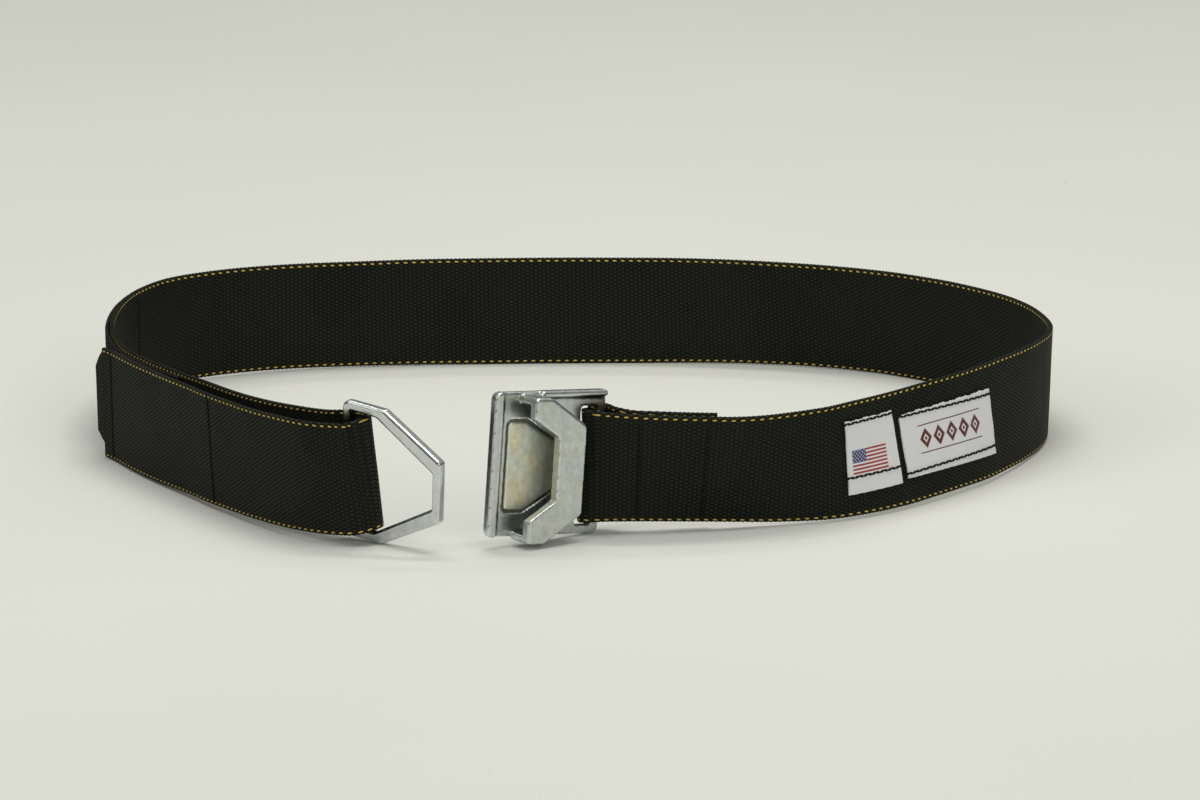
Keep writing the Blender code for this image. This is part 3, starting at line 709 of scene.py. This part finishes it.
def cloth_band(name, rows, indices, run, low, high, offset, thick, levels, edge, relief=None, cuts=None):
    """A closed band of cloth along the path, with a map in metres along and across."""
    profile = cloth_profile(low, high, thick / 2, levels, edge)
    count = len(profile)
    points = np.empty((len(indices), count, 3))
    for n, (index, s) in enumerate(zip(indices, run)):
        foot, _, up, side = cloth_frame(rows, index)
        foot, up, side = np.array(foot), np.array(up), np.array(side)
        cut = cuts[n] if cuts is not None else (0.0, 0.0)
        middle = (low + high) / 2
        for k, (across, off, _) in enumerate(profile):
            share = (across - low) / (high - low)
            moved = across + cut[0] * (1 - share) - cut[1] * share
            more = relief(s, across, off) if relief else (0.0, 0.0)
            points[n, k] = foot + up * (moved + more[0]) + side * (offset + off + more[1])
    flat = points.reshape(-1, 3) * MM
    faces = []
    for n in range(len(indices) - 1):
        base = n * count
        for k in range(count):
            j = (k + 1) % count
            faces.append((base + k, base + j, base + count + j, base + count + k))
    faces.append(tuple(range(count)))
    faces.append(tuple(reversed(range((len(indices) - 1) * count, len(indices) * count))))
    mesh = bpy.data.meshes.new(name)
    mesh.from_pydata(flat.tolist(), [], faces)
    layer = mesh.uv_layers.new(name="cloth")
    across_of = np.array([p[0] for p in profile]) * MM
    sides = np.array([p[2] for p in profile])
    uv = np.empty((len(mesh.loops), 2))
    loop_vertex = np.empty(len(mesh.loops), np.int64)
    mesh.loops.foreach_get("vertex_index", loop_vertex)
    station, place = loop_vertex // count, loop_vertex % count
    quads = (len(indices) - 1) * count
    side_of_face = np.concatenate([np.tile(sides, len(indices) - 1), [1, 1]])
    totals = np.concatenate([np.full(quads, 4), [count, count]])
    side_of_loop = np.repeat(side_of_face, totals)
    uv[:, 0] = np.asarray(run)[station] * MM + side_of_loop * DASH_PITCH * MM / 2
    uv[:, 1] = across_of[place]
    layer.data.foreach_set("uv", uv.reshape(-1))
    obj = bpy.data.objects.new(name, mesh)
    bpy.context.scene.collection.objects.link(obj)
    turn_faces_out(obj)
    mesh.shade_smooth()
    return obj


def turn_faces_out(obj):
    """Turns a closed mesh's faces out where its volume shows that they point in."""
    mesh = obj.data
    mesh.calc_loop_triangles()
    corners = np.empty(len(mesh.vertices) * 3)
    mesh.vertices.foreach_get("co", corners)
    corners = corners.reshape(-1, 3)
    tris = np.empty(len(mesh.loop_triangles) * 3, np.int64)
    mesh.loop_triangles.foreach_get("vertices", tris)
    a, b, c = (corners[tris.reshape(-1, 3)[:, i]] for i in range(3))
    if np.einsum("ij,ij->i", a, np.cross(b, c)).sum() < 0:
        mesh.flip_normals()


def finish_cloth(obj, material, nodes):
    """Gives a cloth piece its material, hangs it on the root body and hides the solids that it stands for."""
    obj.data.materials.append(material)
    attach(obj, "root")
    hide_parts(*nodes)


def layer_offset(thick):
    """How far off the webbing's middle a piece sewn to its outer face lies."""
    return -(WEB_T / 2 + LAYER_GAP + thick / 2)


def seam_indices():
    """Where the seams cross the webbing, as indices on its path."""
    front = [index_where(STRAP, FRONT_FIRST, FRONT_FIRST + 5, 0, x) for x in FRONT_SEAMS_X]
    doubled = [index_where(STRAP, 0, 5, 0, x) for x in DOUBLED_SEAMS_X]
    outer = [index_where(STRAP, OUTER_FIRST, PATH_END, 0, x) for x in OUTER_SEAMS_X]
    pile = [index_where(STRAP, LEFT_FIRST - 1, LEFT_FIRST + 4, 1, PILE_SEAM_Y)]
    return front, doubled, outer, pile


def tight_seams():
    """Where the two seams of the left front lie on the webbing's own map."""
    indices, run = even_indices(STRAP, 0.0, PATH_END, STATION)
    return [float(np.interp(i, indices, run)) * MM + DASH_PITCH * MM / 2 for i in seam_indices()[2]]


def make_strap(material):
    indices, run = even_indices(STRAP, 0.0, PATH_END, STATION)
    seams = np.interp(sum(seam_indices(), []), indices, run)

    def selvedge_relief(s, across, off):
        """Loops of crosswise yarn along both edges, a barely wavy face and a dent at each seam."""
        outside = -1.0 if across < 1.0 else (1.0 if across > WEB_W - 1.0 else 0.0)
        loop = 0.13 * math.sin(2 * math.pi * s / (DASH_PITCH / 2))
        wave = 0.10 * math.sin(s / 17.0 + across / 9.0) + 0.06 * math.sin(s / 6.3 - across / 13.0)
        dent = 0.42 * math.exp(-(min(abs(seams - s)) / 0.8) ** 2) * (-1 if off > 0 else 1)
        return (outside * (loop - 0.10), wave + dent if outside == 0.0 else 0.5 * wave)

    levels = (2.2, 7.0, 13.0, 19.0, 24.75, 30.5, 36.5, 42.5, 47.3)
    strap = cloth_band(
        "belt_webbing", STRAP, indices, run, 0.0, WEB_W, 0.0, WEB_T, levels, 1.0, selvedge_relief
    )
    finish_cloth(strap, material, ["strap"])


def fuzz_relief(s, across, off):
    """A lumpy pile on the tape's outer face."""
    if off >= -0.3:
        return (0.0, 0.0)
    a = math.sin(s * 5.1 + across * 3.7) * math.sin(s * 2.3 - across * 6.1)
    b = math.sin(s * 9.7 - across * 8.3)
    return (0.0, -0.12 - 0.14 * a - 0.08 * b)


def make_loop_tape(material):
    start = index_where(STRAP, LEFT_FIRST - 1, LEFT_FIRST + 4, 1, LOOP_TAPE_Y[0])
    stop = index_where(STRAP, LEFT_FIRST + 4, LEFT_FIRST + 12, 1, LOOP_TAPE_Y[1])
    indices, run = even_indices(STRAP, start, stop, 0.45)
    low = (WEB_W - LOOP_W) / 2
    high = WEB_W - low
    levels = [low + 1.0 + (LOOP_W - 2.0) * i / 72 for i in range(73)]
    tape = cloth_band(
        "loop_pile_tape", STRAP, indices, run, low, high, layer_offset(LOOP_T), LOOP_T - 0.2, levels, 0.6,
        fuzz_relief,
    )
    finish_cloth(tape, material, ["loop_tape"])


def tab_cut(distance):
    """How much the tape narrows below and above, by its distance past the strap's end."""
    if distance <= 0:
        return (0.0, 0.0)
    share = min(distance / TAB_LENGTH, 1.0)
    return (8.6 * share + 1.6 * share**2, 0.6 * share + 7.2 * share**2.4)


def make_hook_tape(material):
    rows = STRAP + TAB
    start = index_where(STRAP, OUTER_FIRST, PATH_END, 1, HOOK_TAPE_Y)
    indices, run = even_indices(rows, start, len(rows) - 1, 0.9)
    end_run = float(np.interp(PATH_END, indices, run))
    low = (WEB_W - HOOK_TAPE_W) / 2
    high = WEB_W - low
    levels = [low + 1.0 + (HOOK_TAPE_W - 2.0) * i / 30 for i in range(31)]
    cuts = [tab_cut(s - end_run) for s in run]
    tape = cloth_band(
        "hook_strip_tape", rows, indices, run, low, high, layer_offset(HOOK_TAPE_T), HOOK_TAPE_T, levels, 0.5,
        None, cuts,
    )
    finish_cloth(tape, material, ["hook_tape"])


def label_relief(s, across, off):
    """A frayed, folded upper edge, a cut lower edge and a face that puckers between its rows of stitches."""
    fray = 0.05 * math.sin(s * 1.3)
    if across > 30.0:
        fray = 0.16 * math.sin(s * 1.1) + 0.12 * math.sin(s * 2.7 + 0.6) + 0.16 * math.sin(s * 0.43 + 1.9)
    pucker = 0.10 * math.sin(s * 0.75 + 1.0) * math.sin(across * 0.5)
    pucker += 0.09 * math.sin(s * 0.31 + across * 0.12)
    return (fray if across > 34.0 or across < 12.0 else 0.0, -abs(pucker) - 0.05)


def make_label(name, node_name, row, material, cuts_of):
    start = index_where(STRAP, FRONT_FIRST + 3, BEND_FIRST, 0, row[0])
    stop = index_where(STRAP, FRONT_FIRST + 3, BEND_FIRST, 0, row[1])
    indices, run = even_indices(STRAP, start, stop, 0.5)
    low, high = row[2], row[3]
    levels = [low + 0.6 + (high - low - 1.2) * i / 30 for i in range(31)]
    cuts = [cuts_of(s / run[-1]) for s in run]
    label = cloth_band(
        name, STRAP, indices, run, low, high, layer_offset(LABEL_T), LABEL_T, levels, 0.3, label_relief, cuts
    )
    uv = label.data.uv_layers["cloth"].data
    for item in uv:
        item.uv = (item.uv[0], item.uv[1] - low * MM)
    finish_cloth(label, material, [node_name])


def small_label_cut(share):
    """How much the small label is cut off square at its left end, below and above."""
    return (0.35 * share, 0.25 * (1 - share))


def large_label_cut(share):
    """The large label's lower edge runs uphill to the left, and its upper left corner is cut off."""
    return (1.2 * (1 - share), 1.4 * max(0.0, 1 - share / 0.05))


# Thread

def stitch_template():
    """One short stitch: a rounded grain, one unit long and one unit wide."""
    bpy.ops.object.select_all(action="DESELECT")
    bpy.ops.mesh.primitive_uv_sphere_add(segments=8, ring_count=5, radius=0.5, location=(0, 0, 0))
    grain = bpy.context.object
    bpy.ops.object.mode_set(mode="EDIT")
    bpy.ops.mesh.select_all(action="SELECT")
    bpy.ops.transform.rotate(value=math.radians(90), orient_axis="Y", center_override=(0, 0, 0))
    bpy.ops.object.mode_set(mode="OBJECT")
    points = np.array([v.co[:] for v in grain.data.vertices])
    faces = [tuple(p.vertices) for p in grain.data.polygons]
    bpy.data.objects.remove(grain, do_unlink=True)
    return points, faces


def sew(name, stitches, width, material):
    """All stitches of one thread as one piece. A stitch is its two ends and the cloth's outward direction."""
    grain, faces = stitch_template()
    all_points, all_faces = [], []
    for start, end, out in stitches:
        start, end, out = (np.array(v, float) for v in (start, end, out))
        along = end - start
        length = np.linalg.norm(along)
        along /= length
        out = out - along * out.dot(along)
        out /= np.linalg.norm(out)
        across = np.cross(out, along)
        turned = grain[:, :1] * along * length + grain[:, 1:2] * across * width
        turned = turned + grain[:, 2:] * out * width * 0.8
        base = len(all_points) * len(grain)
        all_points.append((start + end) / 2 + turned)
        all_faces += [tuple(base + v for v in face) for face in faces]
    mesh = bpy.data.meshes.new(name)
    mesh.from_pydata((np.concatenate(all_points) * MM).tolist(), [], all_faces)
    obj = bpy.data.objects.new(name, mesh)
    bpy.context.scene.collection.objects.link(obj)
    turn_faces_out(obj)
    mesh.shade_smooth()
    mesh.materials.append(material)
    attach(obj, "root")


def on_cloth(index, across, off):
    """A point on the webbing, and the direction away from it on that side."""
    foot, _, up, side = cloth_frame(STRAP, index)
    return foot + up * across + side * off, side * (1 if off > 0 else -1)


def seam_across(index, low, high, off, pitch=2.6, length=2.1):
    """Stitches straight up the webbing at one place on its path."""
    made = []
    count = int((high - low) / pitch)
    for i in range(count):
        a = low + i * pitch
        start, out = on_cloth(index, a, off)
        end, _ = on_cloth(index, a + length, off)
        made.append((start, end, out))
    return made


def seam_along(first, last, across_first, across_last, off, pitch, length, wobble):
    """Stitches along the webbing between two places on its path."""
    indices, run = even_indices(STRAP, first, last, pitch)
    made = []
    for i in range(len(indices) - 1):
        share = i / (len(indices) - 1)
        a = across_first + (across_last - across_first) * share
        swing = wobble * (1 if i % 2 else -1)
        far = indices[i] + (indices[i + 1] - indices[i]) * length / pitch
        start, out = on_cloth(indices[i], a + swing, off)
        end, _ = on_cloth(far, a - swing, off)
        made.append((start, end, out))
    return made


def make_seams(thread):
    face = WEB_T / 2 - 0.12
    front, doubled, outer, pile = seam_indices()
    stitches = []
    for index in front + doubled:
        stitches += seam_across(index, 3.0, 46.5, -face)
    for index in outer:
        stitches += seam_across(index, 2.5, 47.5, face)
    for index in pile:
        stitches += seam_across(index, 3.0, 46.5, face)
    sew("seam_thread", stitches, SEAM_THREAD_W, thread)


def make_label_rows(thread):
    rows = []
    out = -(WEB_T / 2 + LAYER_GAP + LABEL_T + 0.22)
    for row, lines in ((LABEL_SMALL, LABEL_SMALL_ROWS), (LABEL_LARGE, LABEL_LARGE_ROWS)):
        first = index_where(STRAP, FRONT_FIRST + 3, BEND_FIRST, 0, row[0] - 1.0)
        last = index_where(STRAP, FRONT_FIRST + 3, BEND_FIRST, 0, row[1] + 1.0)
        for low, high in lines:
            rows += seam_along(first, last, low, high, out, 2.3, 2.5, 0.30)
    sew("label_thread", rows, LABEL_THREAD_W, thread)


# Metal pieces

def curvature_to_attribute(obj):
    """Writes how sharply the surface bends out (above nought) or in (below nought) at each point."""
    mesh = obj.data
    count = len(mesh.vertices)
    points = np.empty(count * 3)
    normals = np.empty(count * 3)
    mesh.vertices.foreach_get("co", points)
    mesh.vertices.foreach_get("normal", normals)
    points, normals = points.reshape(-1, 3), normals.reshape(-1, 3)
    ends = np.empty(len(mesh.edges) * 2, np.int64)
    mesh.edges.foreach_get("vertices", ends)
    a, b = ends.reshape(-1, 2).T
    span = points[b] - points[a]
    bend = np.einsum("ij,ij->i", normals[b] - normals[a], span)
    bend /= np.maximum(np.einsum("ij,ij->i", span, span), 1e-14)
    total = np.bincount(a, bend, count) + np.bincount(b, bend, count)
    number = np.bincount(a, None, count) + np.bincount(b, None, count)
    value = total / np.maximum(number, 1) * MM
    for _ in range(4):
        spread = np.bincount(a, value[b], count) + np.bincount(b, value[a], count)
        value = 0.5 * value + 0.5 * spread / np.maximum(number, 1)
    layer = mesh.attributes.new("edge", "FLOAT", "POINT")
    layer.data.foreach_set("value", value.astype(np.float32))


def add_modifier(obj, kind, **settings):
    made = obj.modifiers.new(kind.lower(), kind)
    for key, value in settings.items():
        setattr(made, key, value)


def roll_corners(obj, voxel, rounds):
    """Rolls every corner over, as on a casting, through an even grid of small faces."""
    add_modifier(obj, "REMESH", mode="VOXEL", voxel_size=voxel, use_smooth_shade=True)
    add_modifier(obj, "SMOOTH", factor=0.5, iterations=rounds)


def break_edges(obj, width):
    """Breaks the edges of flat faces with narrow rounds, as on a forging."""
    add_modifier(obj, "DECIMATE", decimate_type="DISSOLVE", angle_limit=math.radians(0.4))
    add_modifier(obj, "BEVEL", width=width, segments=2, limit_method="ANGLE", angle_limit=math.radians(18))
    add_modifier(obj, "TRIANGULATE")
    add_modifier(obj, "WEIGHTED_NORMAL", keep_sharp=False)


def metal_from(node_name, name, material, finish, *sizes):
    """The solid's own shape with its edges finished, as plated metal."""
    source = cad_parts[node_name]
    mesh = source.data.copy()
    mesh.materials.clear()
    obj = bpy.data.objects.new(name, mesh)
    bpy.context.scene.collection.objects.link(obj)
    bpy.ops.object.select_all(action="DESELECT")
    obj.select_set(True)
    bpy.context.view_layer.objects.active = obj
    add_modifier(obj, "WELD", merge_threshold=0.00001)
    bpy.ops.object.modifier_apply(modifier="weld")
    obj.data.shade_smooth()
    finish(obj, *sizes)
    for modifier in list(obj.modifiers):
        bpy.ops.object.modifier_apply(modifier=modifier.name)
    obj.data.materials.append(material)
    curvature_to_attribute(obj)
    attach(obj, "root")
    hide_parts(node_name)


def make_floor(material):
    bpy.ops.object.select_all(action="DESELECT")
    bpy.ops.mesh.primitive_plane_add(size=9.0, location=(0, 0, 0))
    floor = bpy.context.object
    floor.name = "floor"
    floor.data.materials.append(material)


make_camera()
make_lights()
make_floor(floor_material())

make_strap(webbing_material(tight_seams()))
make_loop_tape(loop_material())
make_hook_tape(hook_tape_material())
make_label("satin_label_small", "label_small", LABEL_SMALL, small_label_material(), small_label_cut)
make_label("satin_label_large", "label_large", LABEL_LARGE, large_label_material(), large_label_cut)
make_seams(thread_material("black_thread", (0.006, 0.0065, 0.005), 0.7))
make_label_rows(thread_material("label_stitching", (0.012, 0.012, 0.012), 0.55))

ring_zinc = metal_material("ring_zinc", (0.66, 0.70, 0.70), (0.64, 0.64, 0.57), 0.25, 0.000001, 0.185, 0.225)
plate_zinc = metal_material("casting_zinc", (0.62, 0.68, 0.68), (0.66, 0.65, 0.55), 0.60, 0.000008, 0.24, 0.33)
latch_zinc = metal_material("latch_zinc", (0.84, 0.90, 0.80), (0.97, 0.88, 0.60), 1.0, 0.00002, 0.38, 0.54)
metal_from("hex_ring", "ring_forging", ring_zinc, break_edges, 0.00035)
metal_from("buckle_plate", "buckle_casting", plate_zinc, roll_corners, 0.00046, 6)
metal_from("latch_plate", "latch_pad", latch_zinc, roll_corners, 0.00042, 5)
